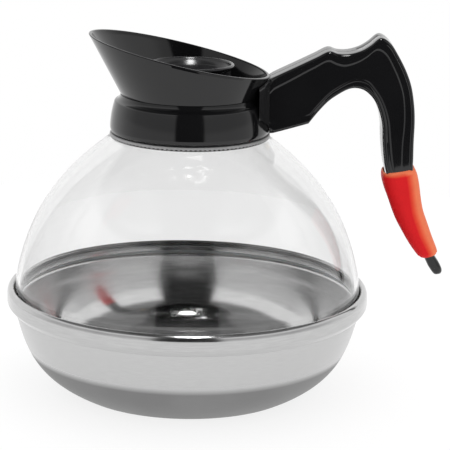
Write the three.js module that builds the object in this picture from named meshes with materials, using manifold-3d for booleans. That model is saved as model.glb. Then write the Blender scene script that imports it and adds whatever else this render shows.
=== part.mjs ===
// Coffee decanter of about 1.9 litres: a polished stainless base pan under a clear globe, a black
// neck collar with a slanted pouring funnel, a lift-out brew-through lid, and a hooked handle
// whose free end carries a soft coloured grip sleeve.
// Millimetres. Origin at the centre of the flat foot, +Z up, handle towards +X, pouring lip
// towards -X.
import * as THREE from 'three';
import { mergeVertices } from 'three/addons/utils/BufferGeometryUtils.js';
import Module from 'manifold-3d';

const wasm = await Module();
wasm.setup();

// Driving dimensions
const GAP = 0.3;                 // clearance between touching pieces
const ROUND_SEGMENTS = 48;       // facets round the large rings
const SMALL_SEGMENTS = 32;       // facets round the lid
const SCREW_SEGMENTS = 12;       // facets round screws and inserts
const CURVE_STEPS = 5;           // steps on each curved stretch of an outline

const FOOT_RADIUS = 57;
const BOWL_RADIUS = 84.25;
const BOWL_TOP = 35.5;
const SHEET = 0.8;               // thickness of the stainless sheet
const PAN_NECK_RADIUS = 85.5;
const LEDGE_RADIUS = 87.9;
const LEDGE_TOP = 44.4;

const CRIMP_RADIUS = 89.25;      // largest radius of the object below the handle
const CRIMP_INNER = CRIMP_RADIUS - SHEET;

const GLOBE_WALL_BOTTOM = 52;
const GLOBE_BASE_RADIUS = 85.2;
const GLOBE_WALL = 2.2;
const FLANGE_BOTTOM = 46.3;
const FLANGE_TOP = 48.4;
const DOME_START = [84.9, 55.5];
const DOME_END = [39.8, 125.5];
const NECK_RADIUS = 35.8;
const NECK_TOP = 141;

const COLLAR_BOTTOM = 128.5;
const COLLAR_BORE = NECK_RADIUS + GAP;
const COLLAR_SHELF = 142.9;
const SPIGOT_RADIUS = 31.6;      // part of the funnel that reaches down into the neck
const SPIGOT_BOTTOM = 136;
const SPIGOT_WALL = 1.8;

const WAIST_RADIUS = 34;
const WAIST_HEIGHT = 147.4;
const FUNNEL_WALL = 1.6;
const FUNNEL_FLOOR = 149.4;
const RIM_CENTRE_X = -5.5;
const RIM_HALF_LENGTH = 44;
const RIM_HALF_WIDTH = 37.6;
const RIM_HEIGHT = 165.5;        // rim height over the globe's axis
const RIM_SLOPE = -0.2228;       // rise of the rim per millimetre towards +X
const LID_HOLE = 9.6;

const LID_TUBE_OUTER = LID_HOLE - 0.4;
const LID_TUBE_INNER = 7.5;
const LID_TUBE_BOTTOM = 143;
const LID_SKIRT = 19.6;
const LID_LIP = 20.2;
const LID_TOP = 161.7;

const HANDLE_HALF_WIDTH = 9;
const HANDLE_CORNER = 2.2;
const SLEEVE_WALL = 1.6;
const SCREW_HEIGHTS = { lower: 132.9, upper: 139.6 };
const SCREW_RADIUS = 1.6;
const HEAD_RADIUS = 2.9;
const HEAD_FACE = COLLAR_BORE + GAP;
const INSERT_RADIUS = 2.6;
const INSERT_START = 40.4;
const INSERT_END = 46.4;

// Materials
const standard = (color, roughness, metalness) =>
  new THREE.MeshStandardMaterial({ color, roughness, metalness });
const STEEL = standard(0xc8c9c8, 0.3, 1);
const CLEAR = standard(0xe8eceb, 0.05, 0);
CLEAR.transparent = true;
CLEAR.opacity = 0.3;
const BLACK = standard(0x141517, 0.15, 0);
const GREY = standard(0x9a9b9b, 0.45, 0);
const RED = standard(0xd32428, 0.45, 0);
const RUBBER = standard(0xd8d8d4, 0.7, 0);
const BRASS = standard(0xb5923f, 0.35, 1);
const ZINC = standard(0xb4b6b8, 0.35, 1);

const object = new THREE.Group();

function addNode(name, geometry, material) {
  const mesh = new THREE.Mesh(geometry, material);
  mesh.name = name;
  object.add(mesh);
  return mesh;
}

// Solids and booleans
function toSolid(geometry) {
  const bare = geometry.clone();
  bare.deleteAttribute('normal');
  bare.deleteAttribute('uv');
  const merged = mergeVertices(bare, 1e-4);
  const vertProperties = new Float32Array(merged.attributes.position.array);
  const triVerts = new Uint32Array(merged.index.array);
  return new wasm.Manifold(new wasm.Mesh({ numProp: 3, vertProperties, triVerts }));
}

function toGeometry(solid) {
  const mesh = solid.getMesh();
  const geometry = new THREE.BufferGeometry();
  geometry.setAttribute('position', new THREE.BufferAttribute(mesh.vertProperties, 3));
  geometry.setIndex(new THREE.BufferAttribute(mesh.triVerts, 1));
  geometry.computeVertexNormals();
  return geometry;
}

// An outline of [radius, height] points turned round the Z axis
function revolve(outline, segments = ROUND_SEGMENTS) {
  const points = outline.map(([radius, height]) => new THREE.Vector2(radius, height));
  return new THREE.LatheGeometry(points, segments).rotateX(Math.PI / 2);
}

function revolveRing(outline, segments) {
  return revolve([...outline, outline[0]], segments);
}

function bezier(p0, p1, p2, p3, steps = CURVE_STEPS) {
  const points = [p0, p1, p2, p3].map(([x, y]) => new THREE.Vector2(x, y));
  return new THREE.CubicBezierCurve(...points).getPoints(steps).map((p) => [p.x, p.y]);
}

// A skin over rings of equal point count; the two ends are capped unless the last ring
// returns to the first
function loft(rings, returns = false) {
  const count = rings[0].length;
  const positions = rings.flat().flatMap((p) => [p.x, p.y, p.z]);
  const index = [];
  const spans = returns ? rings.length : rings.length - 1;
  for (let i = 0; i < spans; i += 1) {
    const near = i * count;
    const far = ((i + 1) % rings.length) * count;
    for (let j = 0; j < count; j += 1) {
      const k = (j + 1) % count;
      index.push(near + j, near + k, far + k);
      index.push(near + j, far + k, far + j);
    }
  }
  if (!returns) {
    const last = (rings.length - 1) * count;
    for (let j = 1; j < count - 1; j += 1) {
      index.push(0, j + 1, j);
      index.push(last, last + j, last + j + 1);
    }
  }
  const geometry = new THREE.BufferGeometry();
  geometry.setAttribute('position', new THREE.Float32BufferAttribute(positions, 3));
  geometry.setIndex(index);
  geometry.computeVertexNormals();
  return geometry;
}

// A solid of revolution about the X axis at the given height
function turnedAlongX(outline, height) {
  return revolve(outline, SCREW_SEGMENTS).rotateY(Math.PI / 2).translate(0, 0, height);
}

// Stainless base pan: flat foot, round bowl, upright neck and a ledge that carries the seal
function basePan() {
  const outside = bezier([FOOT_RADIUS, 0], [73.6, 8.5], [79.75, 17.5], [BOWL_RADIUS, BOWL_TOP], 7);
  const inside = bezier([83.45, 35.7], [79, 17.9], [73.1, 9.2], [56.6, SHEET], 7);
  return revolve([
    [0, 0],
    ...outside,
    [85.1, 38],
    [PAN_NECK_RADIUS, 42.4],
    [86.3, LEDGE_TOP - SHEET],
    [LEDGE_RADIUS, LEDGE_TOP - SHEET],
    [LEDGE_RADIUS, LEDGE_TOP],
    [85.7, LEDGE_TOP],
    [84.7, 42.8],
    [84.3, 38.2],
    ...inside,
    [0, SHEET],
  ]);
}

// Stainless band: its hem goes under the pan's ledge and its top is rolled over the globe's flange
function crimpRing() {
  const top = bezier([CRIMP_RADIUS, 48], [89.2, 50.6], [87.2, 52.3], [85.85, 50.4], 5);
  const underTop = bezier([86.4, 50], [86.9, 50.9], [88.4, 50.3], [CRIMP_INNER, 48], 4);
  return revolveRing([
    [86.5, 40.3],
    [CRIMP_RADIUS, 43.5],
    ...top,
    ...underTop,
    [CRIMP_INNER, 44],
    [85.95, 40.85],
  ]);
}

function baseSeal() {
  return revolveRing([
    [84, LEDGE_TOP + GAP],
    [LEDGE_RADIUS, LEDGE_TOP + GAP],
    [LEDGE_RADIUS, FLANGE_BOTTOM - GAP],
    [84, FLANGE_BOTTOM - GAP],
  ]);
}

// Clear globe: flange, dome and straight neck, open at both ends
function globe() {
  const dome = bezier(DOME_START, [79.7, 84.5], [66.8, 105.5], DOME_END, 9);
  const inside = bezier([38.5, 123.7], [65.4, 103.8], [77.6, 83.9], [82.7, 55.1], 9);
  return revolveRing([
    [83, FLANGE_BOTTOM],
    [LEDGE_RADIUS, FLANGE_BOTTOM],
    [LEDGE_RADIUS, FLANGE_TOP],
    [86.6, 49.4],
    [85.5, 49.6],
    [GLOBE_BASE_RADIUS, GLOBE_WALL_BOTTOM],
    ...dome,
    [37.2, 127.1],
    [36.2, 128],
    [NECK_RADIUS, 129.5],
    [NECK_RADIUS, NECK_TOP],
    [NECK_RADIUS - GLOBE_WALL, NECK_TOP],
    [NECK_RADIUS - GLOBE_WALL, 128.6],
    [34.6, 126.6],
    ...inside,
    [GLOBE_BASE_RADIUS - GLOBE_WALL, GLOBE_WALL_BOTTOM],
  ]);
}

// Ring that locks the collar to the neck; its toothed edge shows below the collar
function neckLockRing() {
  const top = COLLAR_BOTTOM - GAP;
  return revolveRing([
    [37.9, 127.15],
    [38.7, 126.65],
    [38.7, top],
    [36.7, top],
    [36.7, top - 0.3],
  ]);
}

function neckSeal() {
  return revolveRing([
    [33.9, NECK_TOP + GAP],
    [NECK_RADIUS - 0.1, NECK_TOP + GAP],
    [NECK_RADIUS - 0.1, COLLAR_SHELF - GAP],
    [33.9, COLLAR_SHELF - GAP],
  ]);
}

// Outside of the collar from its lower edge to the waist, optionally grown for clearance
function collarOutside(grow = 0) {
  return [
    [38.2 + grow, COLLAR_BOTTOM],
    [38.75 + grow, 129.6],
    [39 + grow, 131.4],
    [38.8 + grow, 134.4],
    [38.3 + grow, 138],
    [37.6 + grow, 141.2],
    [37 + grow, 143.4 + grow],
    [35.7 + grow, 144.4 + grow],
    [34.4 + grow, 145.9 + grow],
    [WAIST_RADIUS + grow, WAIST_HEIGHT - GAP],
  ];
}

// Clearance hole and countersink for a screw that is put in from inside the collar
function screwHole(height) {
  return toSolid(turnedAlongX([
    [0, COLLAR_BORE - 2],
    [3.3, COLLAR_BORE - 2],
    [3.3, HEAD_FACE + 0.2],
    [SCREW_RADIUS + GAP, 38.1],
    [SCREW_RADIUS + GAP, 41],
    [0, 41],
  ], height));
}

function collar() {
  let solid = toSolid(revolveRing([
    ...collarOutside(),
    [SPIGOT_RADIUS + GAP, WAIST_HEIGHT - GAP],
    [SPIGOT_RADIUS + GAP, COLLAR_SHELF],
    [COLLAR_BORE, COLLAR_SHELF],
    [COLLAR_BORE, COLLAR_BOTTOM],
  ]));
  for (const height of Object.values(SCREW_HEIGHTS)) {
    solid = solid.subtract(screwHole(height));
  }
  return toGeometry(solid);
}

// Rings of the funnel: circles round the axis and ellipses in the rim's slanted plane
function circleRing(radius, height) {
  return Array.from({ length: ROUND_SEGMENTS }, (_, i) => {
    const angle = (i / ROUND_SEGMENTS) * 2 * Math.PI;
    return new THREE.Vector3(radius * Math.cos(angle), radius * Math.sin(angle), height);
  });
}

function rimRing(inset, raise = 0) {
  return Array.from({ length: ROUND_SEGMENTS }, (_, i) => {
    const angle = (i / ROUND_SEGMENTS) * 2 * Math.PI;
    const x = RIM_CENTRE_X + (RIM_HALF_LENGTH - inset) * Math.cos(angle);
    const y = (RIM_HALF_WIDTH - inset) * Math.sin(angle);
    return new THREE.Vector3(x, y, RIM_HEIGHT + RIM_SLOPE * x + raise);
  });
}

// Curved slot through the funnel's floor between two radii and two angles
function floorSlot(innerRadius, outerRadius, from, to) {
  const shape = new THREE.Shape();
  shape.absarc(0, 0, outerRadius, from, to, false);
  shape.absarc(0, 0, innerRadius, to, from, true);
  const settings = { depth: 6, bevelEnabled: false, curveSegments: 4 };
  return toSolid(new THREE.ExtrudeGeometry(shape, settings).translate(0, 0, FUNNEL_FLOOR - 4));
}

function spoutFunnel() {
  let solid = toSolid(loft([
    circleRing(SPIGOT_RADIUS - SPIGOT_WALL, SPIGOT_BOTTOM),
    circleRing(SPIGOT_RADIUS, SPIGOT_BOTTOM),
    circleRing(SPIGOT_RADIUS, WAIST_HEIGHT),
    circleRing(WAIST_RADIUS, WAIST_HEIGHT),
    rimRing(0),
    rimRing(FUNNEL_WALL),
    circleRing(WAIST_RADIUS - FUNNEL_WALL, FUNNEL_FLOOR),
    circleRing(LID_HOLE, FUNNEL_FLOOR),
    circleRing(LID_HOLE, WAIST_HEIGHT),
    circleRing(SPIGOT_RADIUS - SPIGOT_WALL, WAIST_HEIGHT),
  ], true));
  const slotAngle = 0.44;
  const slotPitch = 0.56;
  for (const place of [-1.5, -0.5, 0.5, 1.5]) {
    const middle = Math.PI + place * slotPitch;
    solid = solid.subtract(floorSlot(22, 28.6, middle - slotAngle / 2, middle + slotAngle / 2));
  }
  const ventAngle = 0.22;
  solid = solid.subtract(floorSlot(23.5, 28.6, -ventAngle, ventAngle));
  return toGeometry(solid);
}

// Lid that the brewed coffee runs through: a rolled lip, a dish and a short tube
function brewThroughLid() {
  const dish = bezier([18.5, 160.8], [17.2, 156.8], [12.6, 154.2], [LID_TUBE_INNER, 151.8], 5);
  const underDish = bezier([LID_TUBE_OUTER, 150.1], [13, 152.4], [16.6, 155.2], [18.1, 158.8], 4);
  return revolveRing([
    [LID_TUBE_INNER, LID_TUBE_BOTTOM],
    [LID_TUBE_OUTER, LID_TUBE_BOTTOM],
    ...underDish,
    [18.1, FUNNEL_FLOOR + GAP],
    [LID_SKIRT, FUNNEL_FLOOR + GAP],
    [LID_SKIRT, 159.6],
    [LID_LIP, 160.3],
    [LID_LIP, 161.1],
    [19.7, LID_TOP],
    [19, LID_TOP],
    ...dish,
  ], SMALL_SEGMENTS);
}

// One station of the handle: the outline's outer and inner points in the XZ plane and the
// half width along Y
const HANDLE_STATIONS = [
  { outer: [33, 153.8], inner: [33, 127.6], halfWidth: 20 },
  { outer: [35.9, 155.2], inner: [35.9, 128.4], halfWidth: 15.2 },
  { outer: [37.6, 156], inner: [37.6, 128.9], halfWidth: 12 },
  { outer: [39.5, 157], inner: [39.5, 129.5], halfWidth: 10 },
  { outer: [43, 158.7], inner: [43, 130.5], halfWidth: 9.2 },
  { outer: [60.3, 167.2], inner: [57.4, 134.7] },
  { outer: [66.4, 170.2], inner: [61.8, 140.4] },
  { outer: [71, 169.1], inner: [66.5, 145.6] },
  { outer: [76.2, 169.1], inner: [71, 149] },
  { outer: [81.7, 170.7], inner: [76, 151.8] },
  { outer: [86, 173.3], inner: [80, 152.5] },
  { outer: [91, 177.1], inner: [83.9, 151.5] },
  { outer: [95.8, 174.7], inner: [87.1, 149] },
  { outer: [100.2, 168.2], inner: [89.4, 146] },
  { outer: [104.1, 160.8], inner: [91.2, 142] },
  { outer: [106.8, 153.4], inner: [92.5, 137.8] },
  { outer: [108.4, 144.5], inner: [93.3, 133.2] },
  { outer: [109, 136.4], inner: [93.5, 128.6] },
  { outer: [108.9, 126], inner: [94, 122.4] },
  { outer: [109.1, 117.4], inner: [94.9, 115.6] },
];

// Stations of the grip sleeve's outside, from its slanted top rim to its rounded bottom
const SLEEVE_STATIONS = [
  { outer: [110.8, 113.2], inner: [94, 110.4], halfWidth: 10.9 },
  { outer: [112.6, 105.4], inner: [95.5, 103.4], halfWidth: 10.8 },
  { outer: [113.9, 97.6], inner: [98.3, 95.9], halfWidth: 10.4 },
  { outer: [115.3, 91.4], inner: [101.3, 88.1], halfWidth: 9.9 },
  { outer: [117.6, 85.2], inner: [104.7, 81.7], halfWidth: 9.3 },
  { outer: [120.2, 78.3], inner: [108.4, 75.4], halfWidth: 8.6 },
  { outer: [122.8, 72], inner: [112.2, 70], halfWidth: 7.8 },
  { outer: [123.4, 69.3], inner: [114.9, 66.9], halfWidth: 6.9 },
];

// Stations of the black end that comes out of the sleeve
const TIP_STATIONS = [
  { outer: [124, 65.2], inner: [119, 62.8], halfWidth: 4.4 },
  { outer: [125.8, 61.8], inner: [121.4, 59.4], halfWidth: 4 },
  { outer: [126.2, 59.6], inner: [123, 58], halfWidth: 2.8 },
];

// Rounded rectangle across a station, reduced on all sides by inset
function stationRing({ outer, inner, halfWidth = HANDLE_HALF_WIDTH }, corner, inset = 0) {
  const span = new THREE.Vector3(outer[0] - inner[0], 0, outer[1] - inner[1]);
  const centre = new THREE.Vector3((outer[0] + inner[0]) / 2, 0, (outer[1] + inner[1]) / 2);
  const halfSpan = span.length() / 2 - inset;
  const halfBreadth = halfWidth - inset;
  const radius = Math.min(corner, 0.9 * halfSpan, 0.9 * halfBreadth);
  const across = span.normalize();
  const ring = [];
  for (let quarter = 0; quarter < 4; quarter += 1) {
    const signAcross = quarter === 0 || quarter === 3 ? 1 : -1;
    const signY = quarter < 2 ? 1 : -1;
    for (let step = 0; step <= 2; step += 1) {
      const angle = (quarter + step / 2) * (Math.PI / 2);
      const a = signAcross * (halfSpan - radius) + radius * Math.cos(angle);
      const b = signY * (halfBreadth - radius) + radius * Math.sin(angle);
      ring.push(centre.clone().addScaledVector(across, a).add(new THREE.Vector3(0, -b, 0)));
    }
  }
  return ring;
}

const sleeveRing = (station, inset) => stationRing(station, 5.5, inset);

// Space that the collar and the funnel take up, grown for clearance; the handle's root is
// shaped to it
function neckEnvelope() {
  const around = revolve([
    [0, 120],
    [38.2 + GAP, 120],
    ...collarOutside(GAP + 0.05),
    [0, WAIST_HEIGHT - GAP],
  ]);
  const grown = -GAP - 0.1;
  const cone = loft([
    circleRing(WAIST_RADIUS - grown, WAIST_HEIGHT - 1),
    rimRing(grown),
    rimRing(grown, 10),
  ]);
  return toSolid(around).add(toSolid(cone));
}

// Blind bore in the handle's root for a threaded insert and the screw's end
function insertBore(height) {
  return toSolid(turnedAlongX([
    [0, 30],
    [INSERT_RADIUS + GAP, 30],
    [INSERT_RADIUS + GAP, INSERT_END + GAP],
    [SCREW_RADIUS + GAP, INSERT_END + GAP],
    [SCREW_RADIUS + GAP, 49],
    [0, 49],
  ], height));
}

function handle() {
  const insideSleeve = SLEEVE_WALL + GAP;
  const rings = [
    ...HANDLE_STATIONS.map((station) => stationRing(station, HANDLE_CORNER)),
    ...SLEEVE_STATIONS.map((station) => sleeveRing(station, insideSleeve)),
    ...TIP_STATIONS.map((station) => stationRing(station, 2)),
  ];
  let solid = toSolid(loft(rings)).subtract(neckEnvelope());
  for (const height of Object.values(SCREW_HEIGHTS)) {
    solid = solid.subtract(insertBore(height));
  }
  return toGeometry(solid);
}

function gripSleeve() {
  const outside = SLEEVE_STATIONS.map((station) => sleeveRing(station, 0));
  const inside = SLEEVE_STATIONS.map((station) => sleeveRing(station, SLEEVE_WALL)).reverse();
  return loft([...outside, ...inside], true);
}

// Countersunk screw: flat head inside the collar, shank towards +X
function handleScrew(height) {
  return turnedAlongX([
    [0, HEAD_FACE],
    [HEAD_RADIUS, HEAD_FACE],
    [SCREW_RADIUS, HEAD_FACE + 1.4],
    [SCREW_RADIUS, 48.4],
    [0, 48.4],
  ], height);
}

function handleInsert(height) {
  const bore = SCREW_RADIUS + GAP;
  return turnedAlongX([
    [bore, INSERT_START],
    [INSERT_RADIUS, INSERT_START],
    [INSERT_RADIUS, INSERT_END],
    [bore, INSERT_END],
    [bore, INSERT_START],
  ], height);
}

addNode('base_pan', basePan(), STEEL);
addNode('crimp_ring', crimpRing(), STEEL);
addNode('base_seal', baseSeal(), RUBBER);
addNode('globe', globe(), CLEAR);
addNode('neck_lock_ring', neckLockRing(), GREY);
addNode('neck_seal', neckSeal(), RUBBER);
addNode('collar', collar(), BLACK);
addNode('spout_funnel', spoutFunnel(), BLACK);
addNode('brew_through_lid', brewThroughLid(), BLACK);
addNode('handle', handle(), BLACK);
addNode('grip_sleeve', gripSleeve(), RED);
for (const [place, height] of Object.entries(SCREW_HEIGHTS)) {
  addNode(`handle_screw_${place}`, handleScrew(height), ZINC);
  addNode(`handle_insert_${place}`, handleInsert(height), BRASS);
}

export default object;
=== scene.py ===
"""Looks of the coffee decanter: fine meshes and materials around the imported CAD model.

Lengths are in millimetres in the outlines and become metres when a mesh is made. The frame is the
CAD frame: origin at the centre of the foot, +Z up, handle towards +X, pouring lip towards -X.
"""
import math

import bpy
import numpy as np
from mathutils import Matrix, Vector

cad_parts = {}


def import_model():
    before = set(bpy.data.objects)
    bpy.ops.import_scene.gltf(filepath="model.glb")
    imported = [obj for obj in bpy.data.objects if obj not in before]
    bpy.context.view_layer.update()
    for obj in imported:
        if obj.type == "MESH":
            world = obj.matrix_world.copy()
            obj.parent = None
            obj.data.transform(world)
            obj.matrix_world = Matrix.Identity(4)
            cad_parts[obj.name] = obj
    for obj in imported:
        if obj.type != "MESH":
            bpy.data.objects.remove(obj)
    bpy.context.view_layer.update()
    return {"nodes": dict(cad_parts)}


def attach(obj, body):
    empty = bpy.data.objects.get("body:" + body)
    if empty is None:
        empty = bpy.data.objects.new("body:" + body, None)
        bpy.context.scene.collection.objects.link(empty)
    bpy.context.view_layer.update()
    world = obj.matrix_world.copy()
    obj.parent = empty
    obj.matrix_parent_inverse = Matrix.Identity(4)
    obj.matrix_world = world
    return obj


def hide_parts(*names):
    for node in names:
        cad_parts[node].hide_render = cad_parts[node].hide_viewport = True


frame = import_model()

MM = 0.001
ROUND = 192                 # facets round the large rings
SMOOTH_ANGLE = math.radians(32)

# Camera
CAMERA_DISTANCE = 1.04587
CAMERA_TARGET = Vector((0, 0, 0.0815))
CAMERA_ELEVATION = math.radians(14.09)
CAMERA_PAN = math.radians(1.0186)
CAMERA_ROLL = math.radians(1.095)
CAMERA_LENS = 169.35

# Studio seen in gloss and through the globe
GAP_TURN = math.radians(20.7)   # half width of the dim gap in front
GAP_LOWEST = 0.05               # sine of the elevation above which the globe shows the studio
LAMP_STRENGTH = 12.0            # brightness of the lamp that shines down through the lid
OVERHEAD_STRENGTH = 3.0         # brightness of the patch overhead, which only outer gloss shows
FLASH_STRENGTH = 0.5            # brightness of the low patch in front that the pan's inside shows
FLOOR_RADIUS = 450              # millimetres, as are the two heights
FLOOR_TOP = -0.1
FLOOR_BOTTOM = -0.6

# Finishes, in metres
TURNING_RADIUS = 0.085          # radius at which turned lines are measured
# painted shade: below this height the bowl's colour is also painted darker, standing in for the
# shaded floor it reflects
MATT_AND_PAINTED_SHADE_BELOW = 0.0188             # the pan's lower bowl is matt up to this height
BRUSHED_ABOVE = 0.0222          # and fully brushed from this one

# Driving sizes, in millimetres, the same as in the CAD
SHEET = 0.8
CRIMP_RADIUS = 89.25
CRIMP_INNER = CRIMP_RADIUS - SHEET
LEDGE_RADIUS = 87.9
LEDGE_TOP = 44.4
FLANGE_BOTTOM = 46.3
NECK_RADIUS = 35.8
NECK_TOP = 141
GLOBE_WALL = 2.2
GAP = 0.3
COLLAR_BOTTOM = 128.5
COLLAR_SHELF = 142.9
WAIST_RADIUS = 34
WAIST_HEIGHT = 147.4
FUNNEL_FLOOR = 149.4
FUNNEL_WALL = 1.6
SPIGOT_RADIUS = 31.6
SPIGOT_WALL = 1.8
SPIGOT_BOTTOM = 136
RIM_CENTRE_X = -5.5
RIM_HALF_LENGTH = 44
RIM_HALF_WIDTH = 37.6
RIM_HEIGHT = 165.5
RIM_SLOPE = -0.2228
RIM_ROUNDING = ((0.08, 0.27), (0.25, 0.1), (0.5, 0.02), (0.78, 0.0), (1.05, 0.02), (1.3, 0.1),
                (1.46, 0.27))
LID_HOLE = 9.6
LIP_RING = 20.3             # rounded lip of the lid: radius of its ring and of its section
LIP_RADIUS = 0.85
LID_LEAN = math.radians(0.8)    # the loose lid sits a little higher at the front
LID_RAISED = 0.2                # and its lowest edge stays clear of the funnel's floor


# ---------------------------------------------------------------- outlines and meshes

def bezier(p0, p1, p2, p3, steps):
    """Points along a cubic curve, both ends included."""
    t = np.linspace(0, 1, steps + 1)[:, None]
    p0, p1, p2, p3 = (np.array(p, float) for p in (p0, p1, p2, p3))
    curve = p0 * (1 - t) ** 3 + 3 * p1 * t * (1 - t) ** 2 + 3 * p2 * t * t * (1 - t) + p3 * t ** 3
    return [tuple(p) for p in curve]


def filleted(corners, steps=5, closed=True):
    """An outline from corners (a, b) or (a, b, radius); a corner with a radius is rounded."""
    outline = []
    count = len(corners)
    for i, corner in enumerate(corners):
        here = np.array(corner[:2], float)
        radius = corner[2] if len(corner) > 2 else 0
        if not radius or (not closed and i in (0, count - 1)):
            outline.append(tuple(here))
            continue
        before = np.array(corners[i - 1][:2], float) - here
        after = np.array(corners[(i + 1) % count][:2], float) - here
        before_length, after_length = np.linalg.norm(before), np.linalg.norm(after)
        before, after = before / before_length, after / after_length
        half = math.acos(float(np.clip(before @ after, -1, 1))) / 2
        reach = min(radius / math.tan(half), 0.49 * before_length, 0.49 * after_length)
        start, end = here + before * reach, here + after * reach
        for step in range(steps + 1):
            t = step / steps
            weight = 2 * t * (1 - t) * math.sin(half)
            total = (1 - t) ** 2 + weight + t * t
            point = (start * (1 - t) ** 2 + here * weight + end * t * t) / total
            outline.append(tuple(point))
    return outline


def smooth_through(points, steps):
    """Catmull-Rom curve through rows of numbers, with evenly spread steps between them."""
    rows = [np.array(p, float) for p in points]
    rows = [2 * rows[0] - rows[1]] + rows + [2 * rows[-1] - rows[-2]]
    out = []
    for a, b, c, d in zip(rows, rows[1:], rows[2:], rows[3:]):
        for step in range(steps):
            t = step / steps
            out.append(0.5 * (2 * b + (c - a) * t + (2 * a - 5 * b + 4 * c - d) * t * t
                              + (3 * b - a - 3 * c + d) * t ** 3))
    out.append(rows[-2])
    return out


def make_object(name, vertices, faces, face_materials=None):
    """A mesh object from points in millimetres, smooth but with its sharp edges kept."""
    mesh = bpy.data.meshes.new(name)
    scaled = [tuple(MM * float(c) for c in v) for v in vertices]
    mesh.from_pydata(scaled, [], faces)
    mesh.validate()
    if face_materials is not None:
        mesh.polygons.foreach_set("material_index", face_materials)
    mesh.polygons.foreach_set("use_smooth", [True] * len(mesh.polygons))
    mesh.set_sharp_from_angle(angle=SMOOTH_ANGLE)
    obj = bpy.data.objects.new(name, mesh)
    bpy.context.scene.collection.objects.link(obj)
    return obj


def skin(rings, returns):
    """Vertices and faces over rings of equal point count; returns joins the last to the first."""
    count = len(rings[0])
    vertices = [p for ring in rings for p in ring]
    faces = []
    for i in range(len(rings) if returns else len(rings) - 1):
        near, far = i * count, ((i + 1) % len(rings)) * count
        for j in range(count):
            k = (j + 1) % count
            faces.append((near + j, near + k, far + k, far + j))
    if not returns:
        last = (len(rings) - 1) * count
        faces.append(tuple(reversed(range(count))))
        faces.append(tuple(last + j for j in range(count)))
    return vertices, faces


def circle(radius, height, segments=ROUND):
    angles = [2 * math.pi * i / segments for i in range(segments)]
    return [(radius * math.cos(a), radius * math.sin(a), height) for a in angles]


def revolve(name, outline, segments=ROUND, face_material=None):
    """A closed outline of (radius, height), or one that starts and ends on the axis, turned round
    the Z axis. face_material(span) gives the material index of each span of the outline."""
    on_axis = outline[0][0] < 1e-6
    inner = outline[1:-1] if on_axis else outline
    rings = [circle(r, z, segments) for r, z in inner]
    vertices, faces = skin(rings, not on_axis)
    if on_axis:
        faces = faces[:-2]
        bottom, top = len(vertices), len(vertices) + 1
        vertices += [(0, 0, outline[0][1]), (0, 0, outline[-1][1])]
        last = (len(rings) - 1) * segments
        for j in range(segments):
            k = (j + 1) % segments
            faces.append((bottom, k, j))
            faces.append((top, last + j, last + k))
    indices = None
    if face_material:
        spans = (len(rings) - int(on_axis)) * segments
        indices = [face_material(i // segments) for i in range(spans)]
        if on_axis:
            indices += [face_material(0), face_material(len(rings))] * segments
    return make_object(name, vertices, faces, indices)


# ---------------------------------------------------------------- materials

def new_material(name):
    material = bpy.data.materials.new(name)
    material.use_nodes = True
    nodes, links = material.node_tree.nodes, material.node_tree.links
    return material, nodes, links, nodes["Principled BSDF"]


def position(nodes, links, scale=(1, 1, 1)):
    """Object coordinates times scale, as a vector output."""
    coordinates = nodes.new("ShaderNodeTexCoord")
    mapping = nodes.new("ShaderNodeMapping")
    mapping.inputs["Scale"].default_value = scale
    links.new(coordinates.outputs["Object"], mapping.inputs["Vector"])
    return mapping.outputs["Vector"]


def noise(nodes, links, vector, scale, detail, roughness=0.5):
    texture = nodes.new("ShaderNodeTexNoise")
    texture.inputs["Scale"].default_value = scale
    texture.inputs["Detail"].default_value = detail
    texture.inputs["Roughness"].default_value = roughness
    links.new(vector, texture.inputs["Vector"])
    return texture.outputs["Fac"]


def ramp(nodes, links, value, stops):
    """A colour ramp from (place, colour) stops, driven by value."""
    node = nodes.new("ShaderNodeValToRGB")
    elements = node.color_ramp.elements
    while len(elements) > 1:
        elements.remove(elements[-1])
    elements[0].position, elements[0].color = stops[0][0], stops[0][1]
    for place, colour in stops[1:]:
        elements.new(place).color = colour
    links.new(value, node.inputs["Fac"])
    return node.outputs["Color"]


def map_range(nodes, links, value, low, high, to_low, to_high):
    node = nodes.new("ShaderNodeMapRange")
    for socket, number in (("From Min", low), ("From Max", high),
                           ("To Min", to_low), ("To Max", to_high)):
        node.inputs[socket].default_value = number
    links.new(value, node.inputs["Value"])
    return node.outputs["Result"]


def math_node(nodes, links, operation, *values):
    """A Math node whose inputs are outputs of other nodes or plain numbers."""
    node = nodes.new("ShaderNodeMath")
    node.operation = operation
    for socket, value in zip(node.inputs, values):
        if isinstance(value, (int, float)):
            socket.default_value = value
        else:
            links.new(value, socket)
    return node.outputs["Value"]


def bump(nodes, links, height, distance, strength):
    node = nodes.new("ShaderNodeBump")
    node.inputs["Strength"].default_value = strength
    node.inputs["Distance"].default_value = distance
    links.new(height, node.inputs["Height"])
    return node.outputs["Normal"]


def grey(value):
    return (value, value, value, 1)


def turned_coordinates(nodes, links, along):
    """(way round Z times along, 0, height) in metres, for finishes that run round the axis, and the
    height on its own. A small along draws the finish out into long lines."""
    coordinates = nodes.new("ShaderNodeTexCoord")
    split = nodes.new("ShaderNodeSeparateXYZ")
    links.new(coordinates.outputs["Object"], split.inputs["Vector"])
    angle = math_node(nodes, links, "ARCTAN2", split.outputs["Y"], split.outputs["X"])
    join = nodes.new("ShaderNodeCombineXYZ")
    links.new(math_node(nodes, links, "MULTIPLY", angle, TURNING_RADIUS * along), join.inputs["X"])
    links.new(split.outputs["Z"], join.inputs["Z"])
    return join.outputs["Vector"], split.outputs["Z"]


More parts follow.
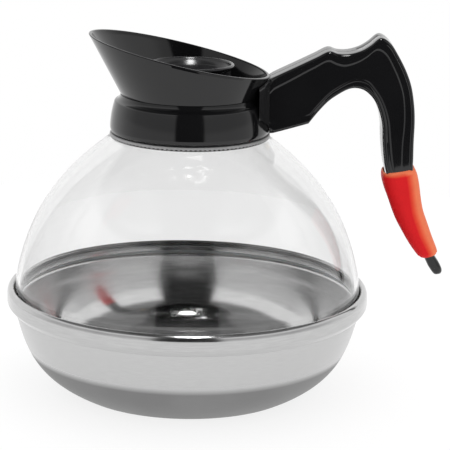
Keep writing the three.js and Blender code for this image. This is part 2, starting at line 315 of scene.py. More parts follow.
def brushed_steel():
    """Outside of the pan: fine lines run round it, and the lower bowl is a matt finish whose colour
    is painted darker, a painted reflection of the shaded floor under it.
    """
    material, nodes, links, shader = new_material("brushed_steel_outside")
    vector, height = turned_coordinates(nodes, links, along=0.06)
    lines = noise(nodes, links, vector, 2600, detail=3, roughness=0.6)
    cloud = noise(nodes, links, position(nodes, links), 22, detail=3)
    upper = ramp(nodes, links, lines, [(0.3, grey(0.53)), (0.7, grey(0.57))])
    # painted shade: this dark grey of the lower bowl stands in for the shaded floor it reflects, on
    # top of its matt finish
    lower = ramp(nodes, links, cloud, [(0.35, grey(0.235)), (0.65, grey(0.265))])
    split = map_range(nodes, links, height, MATT_AND_PAINTED_SHADE_BELOW, BRUSHED_ABOVE, 0, 1)
    colour = nodes.new("ShaderNodeMix")
    colour.data_type = "RGBA"
    links.new(split, colour.inputs["Factor"])
    links.new(lower, colour.inputs["A"])
    links.new(upper, colour.inputs["B"])
    links.new(colour.outputs["Result"], shader.inputs["Base Color"])
    links.new(map_range(nodes, links, split, 0, 1, 0.5, 0.27), shader.inputs["Roughness"])
    links.new(bump(nodes, links, lines, 0.00002, 0.2), shader.inputs["Normal"])
    shader.inputs["Metallic"].default_value = 1
    return material


def mirror_steel():
    """Inside of the pan: polished, with faint turning marks, and a little duller near its rim."""
    material, nodes, links, shader = new_material("polished_steel_inside")
    vector, height = turned_coordinates(nodes, links, along=0.1)
    lines = noise(nodes, links, vector, 700, detail=3)
    colour = ramp(nodes, links, lines, [(0.3, grey(0.70)), (0.7, grey(0.76))])
    links.new(colour, shader.inputs["Base Color"])
    grain = map_range(nodes, links, lines, 0.3, 0.7, 0.09, 0.13)
    rim = map_range(nodes, links, height, 0.022, 0.036, 0, 0.14)
    links.new(math_node(nodes, links, "ADD", grain, rim), shader.inputs["Roughness"])
    shader.inputs["Metallic"].default_value = 1
    return material


def band_steel():
    """Crimped band: polished sheet with fine lines."""
    material, nodes, links, shader = new_material("polished_steel_band")
    vector, _ = turned_coordinates(nodes, links, along=0.08)
    lines = noise(nodes, links, vector, 1400, detail=3)
    colour = ramp(nodes, links, lines, [(0.3, grey(0.50)), (0.7, grey(0.56))])
    links.new(colour, shader.inputs["Base Color"])
    links.new(map_range(nodes, links, lines, 0.3, 0.7, 0.14, 0.2), shader.inputs["Roughness"])
    shader.inputs["Metallic"].default_value = 1
    return material


def clear_plastic():
    """Globe: clear moulded plastic with a trace of grey."""
    material, nodes, links, shader = new_material("clear_plastic")
    haze = noise(nodes, links, position(nodes, links), 30, detail=2)
    colour = ramp(nodes, links, haze, [(0.3, grey(0.945)), (0.7, grey(0.955))])
    links.new(colour, shader.inputs["Base Color"])
    shader.inputs["Roughness"].default_value = 0.0
    shader.inputs["IOR"].default_value = 1.49
    shader.inputs["Transmission Weight"].default_value = 1
    return material


def black_plastic(name, roughness):
    """Black moulding with a very slight orange-peel ripple."""
    material, nodes, links, shader = new_material(name)
    vector = position(nodes, links)
    ripple = noise(nodes, links, vector, 160, detail=2)
    tone = noise(nodes, links, vector, 25, detail=2)
    colour = ramp(nodes, links, tone, [(0.3, (0.0045, 0.0045, 0.005, 1)),
                                       (0.7, (0.0065, 0.0065, 0.007, 1))])
    links.new(colour, shader.inputs["Base Color"])
    links.new(map_range(nodes, links, tone, 0.3, 0.7, roughness, roughness + 0.04),
              shader.inputs["Roughness"])
    links.new(bump(nodes, links, ripple, 0.00002, 0.25), shader.inputs["Normal"])
    shader.inputs["IOR"].default_value = 1.5
    return material


def grey_plastic():
    """Light grey of the notched bead under the collar."""
    material, nodes, links, shader = new_material("grey_plastic")
    grain = noise(nodes, links, position(nodes, links), 900, detail=3)
    colour = ramp(nodes, links, grain, [(0.3, grey(0.26)), (0.7, grey(0.33))])
    links.new(colour, shader.inputs["Base Color"])
    links.new(map_range(nodes, links, grain, 0.3, 0.7, 0.35, 0.45), shader.inputs["Roughness"])
    return material


def grip_rubber():
    """Soft red sleeve with painted sheen: its rounded outer side and top lip are painted orange, as
    though lit from the right and from above.
    """
    material, nodes, links, shader = new_material("red_grip_painted_sheen")
    coordinates = nodes.new("ShaderNodeTexCoord")
    split = nodes.new("ShaderNodeSeparateXYZ")
    links.new(coordinates.outputs["Normal"], split.inputs["Vector"])
    # painted sheen: faces whose normals turn towards +X or upwards are painted a lighter orange
    outer = map_range(nodes, links, split.outputs["X"], 0.05, 0.6, 0, 1)
    lip = map_range(nodes, links, split.outputs["Z"], 0.1, 0.4, 0, 1)
    lit = math_node(nodes, links, "MAXIMUM", outer, lip)
    # the red start of this ramp is the sleeve's own colour; the orange end is painted sheen
    red = ramp(nodes, links, lit, [(0.0, (0.72, 0.012, 0.016, 1)), (0.3, (0.78, 0.06, 0.028, 1)),
                                   (1.0, (0.86, 0.20, 0.09, 1))])
    vector = position(nodes, links)
    mottle = noise(nodes, links, vector, 260, detail=4)
    tint = nodes.new("ShaderNodeMix")
    tint.data_type = "RGBA"
    tint.blend_type = "MULTIPLY"
    tint.inputs["Factor"].default_value = 1
    links.new(red, tint.inputs["A"])
    links.new(ramp(nodes, links, mottle, [(0.3, grey(0.93)), (0.7, grey(1.0))]), tint.inputs["B"])
    links.new(tint.outputs["Result"], shader.inputs["Base Color"])
    links.new(bump(nodes, links, noise(nodes, links, vector, 1400, detail=2), 0.00004, 0.4),
              shader.inputs["Normal"])
    shader.inputs["Roughness"].default_value = 0.55
    shader.inputs["Specular IOR Level"].default_value = 0.12
    return material


def silicone():
    material, nodes, links, shader = new_material("silicone_seal")
    tone = noise(nodes, links, position(nodes, links), 90, detail=2)
    colour = ramp(nodes, links, tone, [(0.3, grey(0.58)), (0.7, grey(0.66))])
    links.new(colour, shader.inputs["Base Color"])
    shader.inputs["Roughness"].default_value = 0.5
    shader.inputs["Subsurface Weight"].default_value = 0.15
    return material


def plain_metal(name, low, high, roughness):
    """Small turned fixings, and also the painted shadow under the crimped band."""
    material, nodes, links, shader = new_material(name)
    grain = noise(nodes, links, position(nodes, links, (0.1, 1, 1)), 1800, detail=2)
    links.new(ramp(nodes, links, grain, [(0.3, low), (0.7, high)]), shader.inputs["Base Color"])
    links.new(map_range(nodes, links, grain, 0.3, 0.7, roughness, roughness + 0.1),
              shader.inputs["Roughness"])
    shader.inputs["Metallic"].default_value = 1
    return material


BRUSHED = brushed_steel()
MIRROR = mirror_steel()
BAND = band_steel()
CLEAR = clear_plastic()
BLACK = black_plastic("gloss_black_plastic", 0.06)
SATIN = black_plastic("satin_black_plastic", 0.2)
GREY = grey_plastic()
GRIP = grip_rubber()
SILICONE = silicone()
ZINC = plain_metal("zinc_screw", grey(0.5), grey(0.62), 0.25)
# painted shadow: a dark grey band on the pan's neck stands in for the shade in the gap under the
# crimped band
SEAM_SHADOW = plain_metal("painted_seam_shadow", grey(0.03), grey(0.06), 0.5)
BRASS = plain_metal("brass_insert", (0.52, 0.36, 0.13, 1), (0.62, 0.45, 0.18, 1), 0.25)


def add_piece(obj, materials, node, body="decanter"):
    """Gives obj its materials, lets it stand for a CAD node and ride on a body."""
    for material in materials:
        obj.data.materials.append(material)
    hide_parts(node)
    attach(obj, body)
    return obj


# ---------------------------------------------------------------- turned pieces

def base_pan():
    outside = bezier((57, 0), (73.6, 8.5), (79.75, 17.5), (84.25, 35.5), 28)
    neck = filleted([(84.25, 35.5), (85.1, 38), (85.2, 39.4), (85.5, 42.4, 1.5), (86.3, 43.6, 1),
                     (LEDGE_RADIUS, 43.6)], 4, closed=False)[1:]
    shelf = filleted([(LEDGE_RADIUS, LEDGE_TOP), (85.7, LEDGE_TOP, 1), (84.7, 42.8, 1.5),
                      (84.3, 38.2), (83.45, 35.7)], 4, closed=False)
    inside = bezier((83.45, 35.7), (79, 17.9), (73.1, 9.2), (56.6, SHEET), 28)[1:]
    foot = [(0, 0), (52, 0)]
    outline = foot + outside + neck + shelf + inside + [(50, SHEET), (0, SHEET)]
    # the neck faces from here on are painted shadow under the crimped band
    seam_shadow_start = len(foot) + len(outside) + 1
    outside_end = len(foot) + len(outside) + len(neck) - 2
    brushed, polished, seam_shadow = 0, 1, 2

    def finish(span):
        """Brushed outside, a painted shadow in the gap under the crimped band, polished inside."""
        if span > outside_end:
            return polished
        return seam_shadow if span >= seam_shadow_start else brushed

    return revolve("base_pan_shell", outline, face_material=finish)


def crimp_ring():
    top = bezier((CRIMP_RADIUS, 48), (89.2, 50.6), (87.2, 52.3), (85.85, 50.4), 14)
    under = bezier((86.4, 50), (86.9, 50.9), (88.4, 50.3), (CRIMP_INNER, 48), 10)
    lower = filleted([(85.95, 40.85, 0.2), (86.5, 40.3, 0.35), (CRIMP_RADIUS, 43.5, 2),
                      (CRIMP_RADIUS, 48)], 5, closed=False)[1:-1]
    return revolve("crimp_band", [(85.95, 40.85)] + lower + top + under + [(CRIMP_INNER, 44)])


def globe():
    dome = bezier((84.9, 55.5), (79.7, 84.5), (66.8, 105.5), (39.8, 125.5), 48)
    inside = bezier((38.5, 123.7), (65.4, 103.8), (77.6, 83.9), (82.7, 55.1), 48)
    neck = filleted([(39.8, 125.5), (37.2, 127.2, 1.2), (NECK_RADIUS, 129.5, 2),
                     (NECK_RADIUS, NECK_TOP, 0.4), (NECK_RADIUS - GLOBE_WALL, NECK_TOP, 0.4),
                     (NECK_RADIUS - GLOBE_WALL, 128.4, 2), (34.8, 126.4, 1.5), (38.5, 123.7)],
                    5, closed=False)[1:-1]
    flange = filleted([(82.7, 55.1), (83, 52), (83, FLANGE_BOTTOM, 0.4),
                       (LEDGE_RADIUS, FLANGE_BOTTOM, 0.3), (LEDGE_RADIUS, 48.4, 0.4),
                       (86.6, 49.4, 0.5), (85.5, 49.6, 0.5), (85.2, 52), (84.9, 55.5)],
                      5, closed=False)[1:-1]
    return revolve("globe_shell", dome + neck + inside + flange)


def neck_ring():
    """Light grey bead under the collar: its lower side is painted dark as shade, with dark notches
    above that.
    """
    top = COLLAR_BOTTOM - GAP
    outline = [(37.9, 127.3), (38.8, 126.4), (39.1, 126.75), (39.15, 127.25), (39.05, 127.7),
               (38.75, 128.05), (38.6, top), (36.7, top), (36.7, top - 0.3)]
    # painted shade: the two lowest spans take the black material to stand in for shade under the
    # bead
    painted_shade_spans, notched_span = (0, 1), 2
    notches = 108
    notch_steps, pitch_steps = 2, 4
    segments = pitch_steps * notches
    rings = [circle(radius, height, segments) for radius, height in outline]
    # material per face: grey, or black where shade is painted and at the notches
    finish = []
    for span in range(len(outline)):
        for i in range(segments):
            notch = span == notched_span and i % pitch_steps < notch_steps
            finish.append(int(span in painted_shade_spans or notch))
    return make_object("neck_bead", *skin(rings, True), finish)


def collar_side():
    """Outside of the collar, from its rounded lower edge to its shoulder."""
    return smooth_through([(38.2, COLLAR_BOTTOM), (38.75, 129.6), (39, 131.4), (38.8, 134.4),
                           (38.3, 138), (37.6, 141.2), (37.1, 142.9)], 5)


def collar():
    top = WAIST_HEIGHT - GAP
    bore, neck_bore = SPIGOT_RADIUS + GAP, NECK_RADIUS + GAP
    shoulder = bezier((37, 143.3), (36.7, 144.1), (36.1, 144), (35.6, 144.4), 6)
    cove = bezier((35.6, 144.4), (34.7, 144.9), (34.2, 145.8), (WAIST_RADIUS, top), 8)
    inner = [(bore, top), (bore, COLLAR_SHELF), (neck_bore, COLLAR_SHELF),
             (neck_bore, COLLAR_BOTTOM), (37.9, COLLAR_BOTTOM)]
    outline = [tuple(p) for p in collar_side()] + shoulder + cove[1:] + inner
    return revolve("neck_collar", outline)


def brew_through_lid():
    dish = bezier((19.6, 161.5), (18.2, 157.2), (13.6, 154.2), (7.5, 151.8), 22)
    under = bezier((9.2, 150.1), (13, 152.4), (16.6, 155.2), (18.1, 158.8), 10)
    skirt = filleted([(18.1, 158.8), (18.1, FUNNEL_FLOOR + GAP), (19.6, FUNNEL_FLOOR + GAP, 0.3),
                      (19.45, 159.0, 0.8), (19.7, 159.7)], 4, closed=False)[1:-1]
    bead = []
    lip_height, lip_start, lip_sweep, lip_steps = 161.1, math.radians(-100), math.radians(255), 12
    for step in range(lip_steps + 1):
        angle = lip_start + lip_sweep * step / lip_steps
        bead.append((LIP_RING + LIP_RADIUS * math.cos(angle),
                     lip_height + LIP_RADIUS * math.sin(angle)))
    tube = [(7.5, 143), (9.2, 143)]
    obj = revolve("brew_through_dish", tube + under + skirt + bead + dish[1:], segments=128)
    seat = Matrix.Translation((0, 0, MM * FUNNEL_FLOOR))
    lean = Matrix.Translation((0, 0, MM * LID_RAISED)) @ Matrix.Rotation(-LID_LEAN, 4, "X")
    obj.data.transform(seat @ lean @ seat.inverted())
    return obj


# ---------------------------------------------------------------- funnel

def rim_point(angle, inset, drop=0.0):
    """Point of the funnel's slanted rim, moved in by inset and down by drop."""
    x = RIM_CENTRE_X + (RIM_HALF_LENGTH - inset) * math.cos(angle)
    y = (RIM_HALF_WIDTH - inset) * math.sin(angle)
    return np.array((x, y, RIM_HEIGHT + RIM_SLOPE * x - drop))


def on_axis_point(angle, radius, height):
    return np.array((radius * math.cos(angle), radius * math.sin(angle), height))


def funnel_column(angle):
    """The funnel's section at one angle, from the spigot's bottom round the rim and back."""
    waist = on_axis_point(angle, WAIST_RADIUS, WAIST_HEIGHT)
    lip_outer = rim_point(angle, 0.0, 0.5)
    floor_edge = on_axis_point(angle, WAIST_RADIUS - FUNNEL_WALL, FUNNEL_FLOOR)
    lip_inner = rim_point(angle, FUNNEL_WALL - 0.1, 0.5)
    column = [on_axis_point(angle, SPIGOT_RADIUS - SPIGOT_WALL, SPIGOT_BOTTOM),
              on_axis_point(angle, SPIGOT_RADIUS, SPIGOT_BOTTOM),
              on_axis_point(angle, SPIGOT_RADIUS, WAIST_HEIGHT)]
    column += [waist + (lip_outer - waist) * t for t in np.linspace(0, 1, 13)]
    column += [rim_point(angle, inset, drop) for inset, drop in RIM_ROUNDING]
    column += [lip_inner + (floor_edge - lip_inner) * t for t in np.linspace(0, 0.94, 13)]
    column += [on_axis_point(angle, WAIST_RADIUS - FUNNEL_WALL - 0.9, FUNNEL_FLOOR + 0.25),
               on_axis_point(angle, WAIST_RADIUS - FUNNEL_WALL - 2, FUNNEL_FLOOR),
               on_axis_point(angle, LID_HOLE + 0.3, FUNNEL_FLOOR),
               on_axis_point(angle, LID_HOLE, FUNNEL_FLOOR - 0.3),
               on_axis_point(angle, LID_HOLE, WAIST_HEIGHT),
               on_axis_point(angle, SPIGOT_RADIUS - SPIGOT_WALL, WAIST_HEIGHT)]
    return column


def slot_cutter(name, inner, outer, middle, spread):
    """Prism with an arc-shaped section, used to cut one slot in the funnel's floor."""
    steps = 14
    angles = [middle + spread * (i / steps - 0.5) for i in range(steps + 1)]
    outline = [(outer * math.cos(a), outer * math.sin(a)) for a in angles]
    outline += [(inner * math.cos(a), inner * math.sin(a)) for a in reversed(angles)]
    rings = [[(x, y, z) for x, y in outline] for z in (FUNNEL_FLOOR - 4, FUNNEL_FLOOR + 2)]
    return make_object(name, *skin(rings, False))


def cut_away(obj, cutters):
    """Cuts the cutters out of obj and removes them."""
    for cutter in cutters:
        modifier = obj.modifiers.new("cut", "BOOLEAN")
        modifier.operation = "DIFFERENCE"
        modifier.solver = "EXACT"
        modifier.object = cutter
    graph = bpy.context.evaluated_depsgraph_get()
    mesh = bpy.data.meshes.new_from_object(obj.evaluated_get(graph))
    obj.modifiers.clear()
    obj.data = mesh
    for cutter in cutters:
        bpy.data.objects.remove(cutter)
    mesh.polygons.foreach_set("use_smooth", [True] * len(mesh.polygons))
    mesh.set_sharp_from_angle(angle=SMOOTH_ANGLE)


def spout_funnel():
    columns = [funnel_column(2 * math.pi * i / ROUND) for i in range(ROUND)]
    rings = [list(ring) for ring in zip(*columns)]
    obj = make_object("pouring_funnel", *skin(rings, True))
    slot_inner, vent_inner, outer = 22, 23.5, 28.6
    spread, pitch = 0.44, 0.56
    cutters = [slot_cutter(f"cut{i}", slot_inner, outer, math.pi + place * pitch, spread)
               for i, place in enumerate((-1.5, -0.5, 0.5, 1.5))]
    cutters.append(slot_cutter("cut_vent", vent_inner, outer, 0, spread))
    cut_away(obj, cutters)
    return obj


# ---------------------------------------------------------------- handle and sleeve

# Stations along the handle: outer x, outer z, inner x, inner z, half width along Y. The last two
# of the hook lie inside the sleeve.
ROOT = [
    (33, 153.8, 33, 127.6, 20), (34.5, 154.5, 34.5, 128, 17.6), (35.8, 155.2, 35.8, 128.4, 15.4),
    (36.8, 155.6, 36.8, 128.7, 13.1), (37.6, 156, 37.6, 128.9, 11), (38.3, 156.4, 38.3, 129.2, 9),
    (44, 159.2, 44, 130.8, 9), (50, 162.1, 49.6, 132.4, 9), (60.3, 167.2, 57.4, 134.7, 9),
]
HOOK = [
    (60.3, 167.2, 57.4, 134.7, 9), (66.4, 170.2, 61.8, 140.4, 9), (71, 169.1, 66.5, 145.6, 9),
    (76.2, 169.1, 71, 149, 9), (81.7, 170.7, 76, 151.8, 9), (86, 173.3, 80, 152.5, 9),
    (91, 177.1, 83.9, 151.5, 9), (95.8, 174.7, 87.1, 149, 9), (100.2, 168.2, 89.4, 146, 9),
    (104.1, 160.8, 91.2, 142, 9), (106.8, 153.4, 92.5, 137.8, 9), (108.4, 144.5, 93.3, 133.2, 9),
    (109, 136.4, 93.5, 128.6, 9), (108.9, 126, 94, 122.4, 9), (109, 118, 94.9, 115.6, 9),
    (109, 113.7, 95.8, 111.6, 8.9), (109.4, 110, 96.8, 108, 8.6), (110, 106, 97.9, 104.2, 8.4),
]
SLEEVE = [
    (110.8, 113.2, 94, 110.4, 10.9), (112.6, 105.4, 95.5, 103.4, 10.8),
    (113.9, 97.6, 98.3, 95.9, 10.4), (115.3, 91.4, 101.3, 88.1, 9.9),
    (117.6, 85.2, 104.7, 81.7, 9.3), (120.2, 78.3, 108.4, 75.4, 8.6),
    (122.8, 72, 112.2, 70, 7.8), (123.4, 69.3, 114.9, 66.9, 6.9),
]
TIP = [
    (124, 65.2, 119, 62.8, 4.4), (125.6, 62.2, 121, 59.9, 4.1), (126.1, 60.3, 122.4, 58.4, 3.3),
    (125.9, 58.9, 123.9, 58.1, 1.8),
]
SLEEVE_WALL = 1.6
PANEL_DEPTH = 0.32          # sunken panel on each side of the handle
RIDGE_DEPTH = 0.25          # groove along the handle's edges
SIDE_MARKS = 22             # points on a flat side of a handle section
END_MARKS = 6               # points on an end of a handle section


def evenly(half, steps):
    """Flat stretch between two corners, as (place, depth) marks."""
    return [(half * (1 - 2 * i / steps), 0.0) for i in range(1, steps)]


def kept_on_flat(marks, half):
    """Marks drawn in towards the middle so that none lies on the rounded corners."""
    fit = min(1.0, 0.97 * half / max(abs(place) for place, _ in marks))
    return [(place * fit, depth) for place, depth in marks]


def section(half_span, half_breadth, corner, sides, ends, steps=6):
    """Rounded rectangle as (across, y) pairs. sides and ends are (place, depth) marks on its flat
    stretches, where depth goes into the material."""
    radius = min(corner, 0.95 * half_span, 0.95 * half_breadth)
    a, b = half_span - radius, half_breadth - radius
    sides, ends = kept_on_flat(sides, a), kept_on_flat(ends, b)

    def bend(quarter, centre_a, centre_b):
        angles = [(quarter + step / steps) * math.pi / 2 for step in range(steps + 1)]
        return [(centre_a + radius * math.cos(t), centre_b + radius * math.sin(t)) for t in angles]

    pairs = bend(0, a, b) + [(p, half_breadth - d) for p, d in sides]
    pairs += bend(1, -a, b) + [(d - half_span, p) for p, d in ends]
    pairs += bend(2, -a, -b) + [(p, d - half_breadth) for p, d in reversed(sides)]
    pairs += bend(3, a, -b) + [(half_span - d, p) for p, d in reversed(ends)]
    return pairs


def station(row):
    """Centre, direction across and half span of a station row."""
    outer = np.array((row[0], 0, row[1]))
    inner = np.array((row[2], 0, row[3]))
    length = float(np.linalg.norm(outer - inner))
    return (outer + inner) / 2, (outer - inner) / length, length / 2


def place_section(centre, across, pairs):
    return [tuple(centre + across * a - np.array((0, b, 0))) for a, b in pairs]


def border(margin, panel, ridge):
    """(distance from the edge, depth) over the raised border: a groove along the edge, a slanted
    band, and the step down into the panel. panel and ridge are the two depths."""
    shape = [(1.6, 0.0, 0.0), (1.95, 0.0, 0.8), (2.25, 0.0, 1.0)]
    shape += [(margin - 1.1, 0.0, 0.12), (margin - 0.6, 0.0, 0.0), (margin - 0.25, 0.12, 0.0)]
    shape += [(margin, 0.5, 0.0), (margin + 0.25, 0.88, 0.0), (margin + 0.6, 1.0, 0.0)]
    return [(away, panel * sunk + ridge * slant) for away, sunk, slant in shape]


def panel_marks(half_span, centre_x):
    """Side of the handle: a raised border round a sunken panel that fades out at the root."""
    panel = PANEL_DEPTH * smoothstep((centre_x - 35.5) / 2)
    along_arch = smoothstep((centre_x - 57) / 5)
    down_leg = smoothstep((centre_x - 88) / 6)
    outer_margin = 4.5 + smoothstep((60 - centre_x) / 20) + 1.2 * smoothstep((centre_x - 66) / 8)
    inner_margin = 4.4 + 0.4 * along_arch - 0.9 * down_leg
    marks = [(half_span - away, depth)
             for away, depth in border(outer_margin, panel, RIDGE_DEPTH * down_leg)]
    high, low = half_span - outer_margin - 1.2, inner_margin + 1.2 - half_span
    marks += [(high + (low - high) * t, panel) for t in (0.0, 0.33, 0.67, 1.0)]
    marks += [(away - half_span, depth)
              for away, depth in reversed(border(inner_margin, panel, RIDGE_DEPTH * along_arch))]
    return marks


def parting_marks(half):
    """End face of the handle with a fine parting line down its middle."""
    return [(0.6 * half, 0), (0.3, 0), (0.12, 0.14), (-0.12, 0.14), (-0.3, 0), (-0.6 * half, 0)]


def smoothstep(t):
    t = min(1.0, max(0.0, t))
    return t * t * (3 - 2 * t)


def handle_rings(rows):
    """Sections of the black hook; the root's corners are rounder where it meets the collar."""
    rings = []
    for row in rows:
        centre, across, half_span = station(row)
        corner = 1.3 + 5 * (1 - smoothstep((centre[0] - 35) / 6))
        marks = panel_marks(half_span, centre[0])
        pairs = section(half_span, row[4], corner, marks, parting_marks(row[4]))
        rings.append(place_section(centre, across, pairs))
    return rings


def straight_through(rows, steps):
    """Rows of numbers with evenly spread steps along the straight lines between them."""
    rows = np.array(rows, float)
    return [a + (b - a) * step / steps for a, b in zip(rows, rows[1:]) for step in range(steps)]


def plain_rings(rows, corner, inset=0.0):
    """Sections with as many points as the handle's own, but flat sides."""
    rings = []
    for row in rows:
        centre, across, half_span = station(row)
        half_span, half_breadth = half_span - inset, row[4] - inset
        pairs = section(half_span, half_breadth, corner, evenly(half_span, SIDE_MARKS + 1),
                        evenly(half_breadth, END_MARKS + 1))
        rings.append(place_section(centre, across, pairs))
    return rings


def handle():
    """Hook from the collar to its tip. Its sides lose the panel inside the sleeve."""
    sleeved_corner, tip_corner = 2.6, 2.3
    rings = handle_rings(straight_through(ROOT, 3))
    rings += handle_rings(smooth_through(HOOK, 6))
    rings += plain_rings(smooth_through(SLEEVE, 3)[4:], sleeved_corner, SLEEVE_WALL + GAP)
    rings += plain_rings(smooth_through(TIP, 5), tip_corner)
    obj = make_object("hook_handle", *skin(rings, False))
    cut_away(obj, [neck_space()])
    return obj


def neck_space():
    """Room for the collar and the funnel, cut out of the handle's root."""
    grow = GAP + 0.05
    rings = [circle(38.2 + grow, 120)]
    rings += [circle(r + grow, z) for r, z in collar_side()]
    rings += [circle(36.9 + grow, 143.8), circle(35.7 + grow, 144.8),
              circle(WAIST_RADIUS + grow + 0.1, WAIST_HEIGHT - 1)]
    for drop in (0.0, -12.0):
        rings.append([tuple(rim_point(2 * math.pi * i / ROUND, -grow - 0.1, drop))
                      for i in range(ROUND)])
    return make_object("neck_space", *skin(rings, False))


def grip_sleeve():
    """Open-ended sleeve with a rounded lip at either end; its bore keeps clear of the handle."""
    rows = smooth_through(SLEEVE, 6)
    outer_corner, lip_corner, bore_corner = 6, 5.7, 3.3

    def ring(row, inset, corner, shift=0.0, towards=0.0):
        """Section at a row, made smaller by inset and moved by shift along towards."""
        centre, across, half_span = station(row)
        pairs = section(half_span - inset, row[4] - inset, corner,
                        evenly(half_span, 12), evenly(row[4], 8))
        return place_section(centre + shift * towards, across, pairs)

    def end_direction(row, following):
        away = station(row)[0] - station(following)[0]
        return away / np.linalg.norm(away)

    up = end_direction(rows[0], rows[1])
    down = end_direction(rows[-1], rows[-2])
    upper_lip = [(1.55, -0.6), (1.35, -0.15), (1.1, 0.0), (0.8, -0.3), (0.5, -1.0), (0.2, -2.0),
                 (0.05, -3.0)]
    lower_lip = [(0.1, -1.0), (0.4, -0.35), (0.9, 0.0), (1.3, -0.15), (1.55, -0.6)]
    between_lips = rows[3:-3]
    rings = [ring(rows[0], inset, lip_corner, shift, up) for inset, shift in upper_lip]
    rings += [ring(row, 0.0, outer_corner) for row in between_lips]
    rings += [ring(rows[-1], inset, lip_corner, shift, down) for inset, shift in lower_lip]
    rings += [ring(row, SLEEVE_WALL, bore_corner) for row in reversed(between_lips)]
    return make_object("grip_sleeve_skin", *skin(rings, True))


# ---------------------------------------------------------------- the object

add_piece(base_pan(), [BRUSHED, MIRROR, SEAM_SHADOW], "base_pan")
band = add_piece(crimp_ring(), [BAND], "crimp_ring")
add_piece(globe(), [CLEAR], "globe")
# the bead's black faces are painted shade on its lower side and dark notches
add_piece(neck_ring(), [GREY, BLACK], "neck_lock_ring")
add_piece(collar(), [BLACK], "collar")
add_piece(spout_funnel(), [BLACK], "spout_funnel")
lid = add_piece(brew_through_lid(), [SATIN], "brew_through_lid", "lid")
hook = add_piece(handle(), [BLACK], "handle")
sleeve = add_piece(grip_sleeve(), [GRIP], "grip_sleeve")
sleeve.visible_glossy = False

for node, material in (("base_seal", SILICONE), ("neck_seal", SILICONE),
                       ("handle_screw_lower", ZINC), ("handle_screw_upper", ZINC),
                       ("handle_insert_lower", BRASS), ("handle_insert_upper", BRASS)):
    slots = frame["nodes"][node].data.materials
    slots.clear()
    slots.append(material)


# ---------------------------------------------------------------- stage, light, camera

def floor():
    """Pale disc just under the foot, bright enough to look almost white."""
    rings = [circle(FLOOR_RADIUS, FLOOR_BOTTOM), circle(FLOOR_RADIUS, FLOOR_TOP)]
    obj = make_object("floor", *skin(rings, False))
    material, _, _, shader = new_material("pale_floor")
    shader.inputs["Base Color"].default_value = grey(0.22)
    shader.inputs["Roughness"].default_value = 0.9
    shader.inputs["Emission Color"].default_value = grey(1)
    shader.inputs["Emission Strength"].default_value = 0.8
    obj.data.materials.append(material)


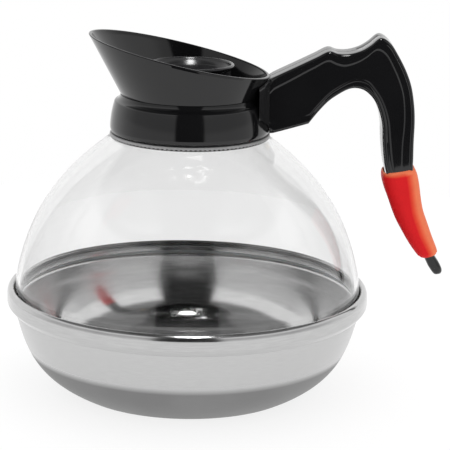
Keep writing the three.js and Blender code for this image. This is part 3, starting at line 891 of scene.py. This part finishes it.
def world():
    """White all round for the camera. Gloss and the globe see a studio instead: soft panels left
    and right, a dim gap in front and a dull ceiling. Three bright patches are each kept to one kind
    of ray, told apart by the glass walls it has crossed: overhead to the gloss outside, a lamp to
    rays reflected inside the globe, and a low flash to rays that have been to the pan and back."""
    background = bpy.data.worlds.new("studio")
    bpy.context.scene.world = background
    background.use_nodes = True
    nodes, links = background.node_tree.nodes, background.node_tree.links
    shader = nodes["Background"]
    coordinates = nodes.new("ShaderNodeTexCoord")
    split = nodes.new("ShaderNodeSeparateXYZ")
    links.new(coordinates.outputs["Generated"], split.inputs["Vector"])
    x, y, z = (split.outputs[axis] for axis in "XYZ")

    def calc(operation, *values):
        return math_node(nodes, links, operation, *values)

    def inside(value, low, high, soft):
        """1 between low and high, with a soft edge at either end."""
        start = map_range(nodes, links, value, low - soft, low + soft, 0, 1)
        end = map_range(nodes, links, value, high - soft, high + soft, 1, 0)
        return calc("MULTIPLY", start, end)

    rise = calc("MAXIMUM", z, 0.01)
    turn = calc("ABSOLUTE", calc("ARCTAN2", x, calc("MULTIPLY", y, -1.0)))
    side = calc("DIVIDE", calc("ABSOLUTE", x), rise)
    off_centre = calc("DIVIDE", x, rise)
    back = calc("DIVIDE", y, rise)
    height = map_range(nodes, links, z, -1, 1, 0, 1)
    panels = ramp(nodes, links, height,
                  [(0.0, grey(0.8)), (0.5, grey(0.8)), (0.53, grey(0.6)), (0.69, grey(0.62)),
                   (0.71, grey(0.95)), (0.80, grey(0.95)), (0.83, grey(0.2)), (1.0, grey(0.16))])
    backdrop = ramp(nodes, links, height,
                    [(0.0, grey(1.0)), (0.80, grey(1.0)), (0.84, grey(0.2)), (1.0, grey(0.16))])
    behind = map_range(nodes, links, turn, 1.5, 2.1, 0, 1)
    front_gap = calc("MULTIPLY", inside(turn, -1, GAP_TURN, 0.03), inside(z, -2, 0.8, 0.05))
    ceiling_gap = calc("MULTIPLY", inside(side, -1, 0.4, 0.04), inside(z, 0.75, 2, 0.05))
    gap = calc("MULTIPLY", calc("MAXIMUM", front_gap, ceiling_gap), calc("SUBTRACT", 1.0, behind))
    lamp = calc("MULTIPLY", inside(off_centre, -0.16, 0.16, 0.04), inside(back, -0.95, -0.2, 0.05))
    overhead = calc("MULTIPLY", inside(off_centre, -0.02, 0.14, 0.02),
                    inside(back, 0.05, 0.13, 0.01))
    flash = calc("MULTIPLY", inside(turn, -1, 0.15, 0.1), inside(z, 0.08, 0.24, 0.06))

    def blend(factor, first, second):
        """first where factor is 0 and second where it is 1, as colours or outputs."""
        node = nodes.new("ShaderNodeMix")
        node.data_type = "RGBA"
        links.new(factor, node.inputs["Factor"])
        for socket, value in (("A", first), ("B", second)):
            if isinstance(value, tuple):
                node.inputs[socket].default_value = value
            else:
                links.new(value, node.inputs[socket])
        return node.outputs["Result"]

    path = nodes.new("ShaderNodeLightPath")
    depth = path.outputs["Transmission Depth"]
    outside = calc("LESS_THAN", depth, 0.5)
    inside_globe = calc("MULTIPLY", calc("GREATER_THAN", depth, 1.5), calc("LESS_THAN", depth, 3.5))
    up_the_neck = calc("MULTIPLY", inside_globe, path.outputs["Is Reflection Ray"])
    from_pan = calc("GREATER_THAN", depth, 3.5)
    studio = blend(behind, panels, backdrop)
    studio = blend(gap, studio, grey(0.02))
    studio = blend(calc("MULTIPLY", flash, from_pan), studio, grey(FLASH_STRENGTH))
    studio = blend(calc("MULTIPLY", lamp, up_the_neck), studio, grey(LAMP_STRENGTH))
    studio = blend(calc("MULTIPLY", overhead, outside), studio, grey(OVERHEAD_STRENGTH))
    above = calc("GREATER_THAN", z, GAP_LOWEST)
    through_globe = calc("MULTIPLY", path.outputs["Is Transmission Ray"], above)
    sees_studio = calc("MAXIMUM", path.outputs["Is Glossy Ray"], through_globe)
    links.new(blend(sees_studio, grey(1.0), studio), shader.inputs["Color"])


def softbox(name, pieces, place, width, length, watts):
    """Lamp aimed at the decanter that only shows in the gloss of the given pieces, sizes in
    metres."""
    data = bpy.data.lights.new(name, "AREA")
    data.shape = "RECTANGLE"
    data.size, data.size_y = width, length
    data.energy = watts
    data.diffuse_factor = 0
    obj = bpy.data.objects.new(name, data)
    aim = (CAMERA_TARGET - Vector(place)).to_track_quat("-Z", "Y").to_matrix().to_4x4()
    obj.matrix_world = Matrix.Translation(place) @ aim
    bpy.context.scene.collection.objects.link(obj)
    lit = bpy.data.collections.new(name + "_pieces")
    for piece in pieces:
        lit.objects.link(piece)
    obj.light_linking.receiver_collection = lit


def camera():
    data = bpy.data.cameras.new("camera")
    data.sensor_width = 36
    data.lens = CAMERA_LENS
    data.clip_start, data.clip_end = 0.05, 10
    obj = bpy.data.objects.new("camera", data)
    back = Vector((0, -math.cos(CAMERA_ELEVATION), math.sin(CAMERA_ELEVATION)))
    place = Matrix.Translation(CAMERA_TARGET + back * CAMERA_DISTANCE)
    pan = Matrix.Rotation(-CAMERA_PAN, 4, "Z")
    tilt = Matrix.Rotation(math.pi / 2 - CAMERA_ELEVATION, 4, "X")
    roll = Matrix.Rotation(CAMERA_ROLL, 4, "Z")
    obj.matrix_world = place @ pan @ tilt @ roll
    bpy.context.scene.collection.objects.link(obj)
    bpy.context.scene.camera = obj


floor()
world()
softbox("front_lamp", [band, hook], (0.08, -0.8, 1.4), width=0.28, length=0.62, watts=11)
softbox("lid_lamp", [lid], (0.02, -0.9, 1.3), width=0.4, length=0.7, watts=26)
camera()
bpy.context.scene.view_settings.view_transform = "Standard"
